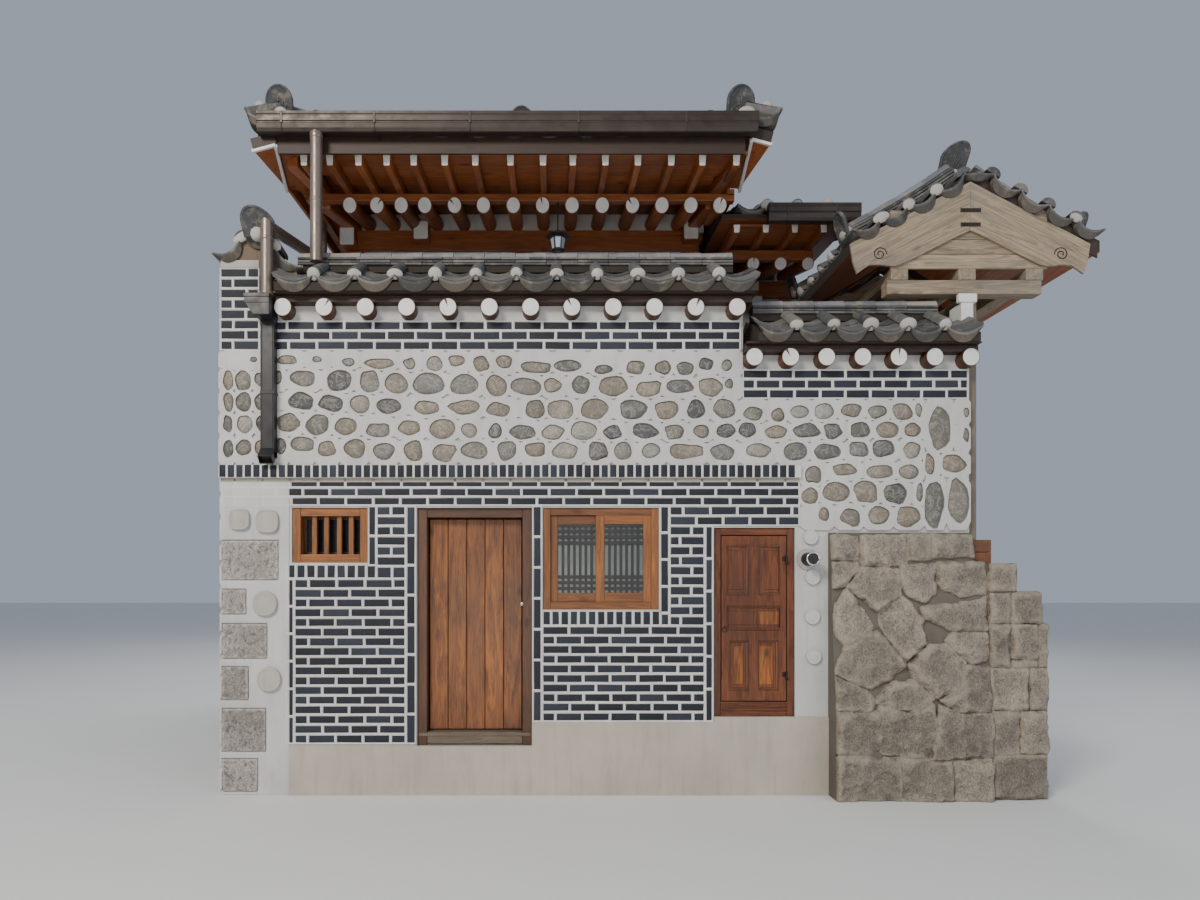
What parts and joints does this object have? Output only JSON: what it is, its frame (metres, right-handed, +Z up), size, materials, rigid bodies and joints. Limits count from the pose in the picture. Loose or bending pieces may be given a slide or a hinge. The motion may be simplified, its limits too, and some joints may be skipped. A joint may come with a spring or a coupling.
{
  "type": "hanok house",
  "caption": "Traditional tiled timber hall with deep double eaves on a brick and fieldstone street storey, with a side wing, a roofed gate and two hinged street doors.",
  "frame": {"origin": "under the middle of the street wall's thickness and of the street front's width, at the lowest ground", "axes": "+X right along the street front, +Y into the house, +Z up"},
  "size_m": [8.1719, 8.0244, 7.463],
  "materials": {
    "concrete": "warm grey trowelled concrete",
    "brick": "charcoal bricks with raised white joints",
    "plaster": "matt lime plaster",
    "fieldstone": "rounded fieldstones in lime plaster",
    "granite": "rough split granite",
    "tile": "weathered grey clay roof tile",
    "pine": "oiled reddish pine with white painted ends",
    "old_pine": "weathered bare pine",
    "door_wood": "varnished red brown timber",
    "window_wood": "light orange brown timber",
    "gutter_metal": "dark brown sheet metal",
    "pipe_metal": "satin taupe sheet metal",
    "dark_metal": "satin black metal",
    "panes": "glass with paper behind"
  },
  "bodies": {
    "house": {"street_plinth": "concrete", "front_wall_left": "brick", "front_wall_middle": "brick", "front_wall_right": "plaster", "lintel_left": "brick", "lintel_right": "brick", "corner_pier": "granite", "brick_ledge": "brick", "street_wall_high": "fieldstone", "street_wall_low": "fieldstone", "rubble_base": "granite", "gate_steps": "granite", "side_wall_left": "fieldstone", "side_wall_right": "fieldstone", "back_wall": "fieldstone", "street_floor": "concrete", "terrace_slab": "concrete", "courtyard_tray": "concrete", "barred_window": "window_wood", "lattice_window_frame": "window_wood", "lattice_window_sashes": "panes", "plank_door_frame": "door_wood", "panel_door_frame": "door_wood", "vent_pipe": "dark_metal", "cap_roof_high": "tile", "cap_roof_low": "tile", "cap_roof_right": "tile", "cap_rafters_high": "pine", "cap_rafters_low": "pine", "hall_frame": "pine", "hall_wall_front_left": "plaster", "hall_wall_front_right": "plaster", "hall_wall_back_left": "plaster", "hall_wall_back_right": "plaster", "hall_wall_left": "plaster", "hall_wall_right": "plaster", "hall_doors": "window_wood", "hall_rafters": "pine", "hall_flying_rafters_front": "pine", "hall_flying_rafters_back": "pine", "hall_roof": "tile", "hall_gable_front": "old_pine", "hall_gable_back": "old_pine", "hall_gutter": "gutter_metal", "wing_gutter": "gutter_metal", "downpipe_upper": "pipe_metal", "downpipe_return": "pipe_metal", "rainwater_head": "dark_metal", "lantern": "dark_metal", "wing_walls": "plaster", "wing_roof": "tile", "wing_rafters": "pine", "gate_roof": "tile", "gate_frame": "old_pine", "gate_leaves": "old_pine", "gate_gable_front": "old_pine", "gate_gable_back": "old_pine"},
    "plank_leaf": {"plank_door": "door_wood"},
    "panel_leaf": {"panel_door": "door_wood"}
  },
  "joints": [
    {"name": "plank_door_hinge", "type": "hinge", "parent": "house", "child": "plank_leaf", "pos_m": [-1.577, 0.037, 1.5], "axis": [0, 0, 1], "range_deg": [0, 95]},
    {"name": "panel_door_hinge", "type": "hinge", "parent": "house", "child": "panel_leaf", "pos_m": [1.69, -0.137, 1.6], "axis": [0, 0, 1], "range_deg": [0, 100]}
  ]
}
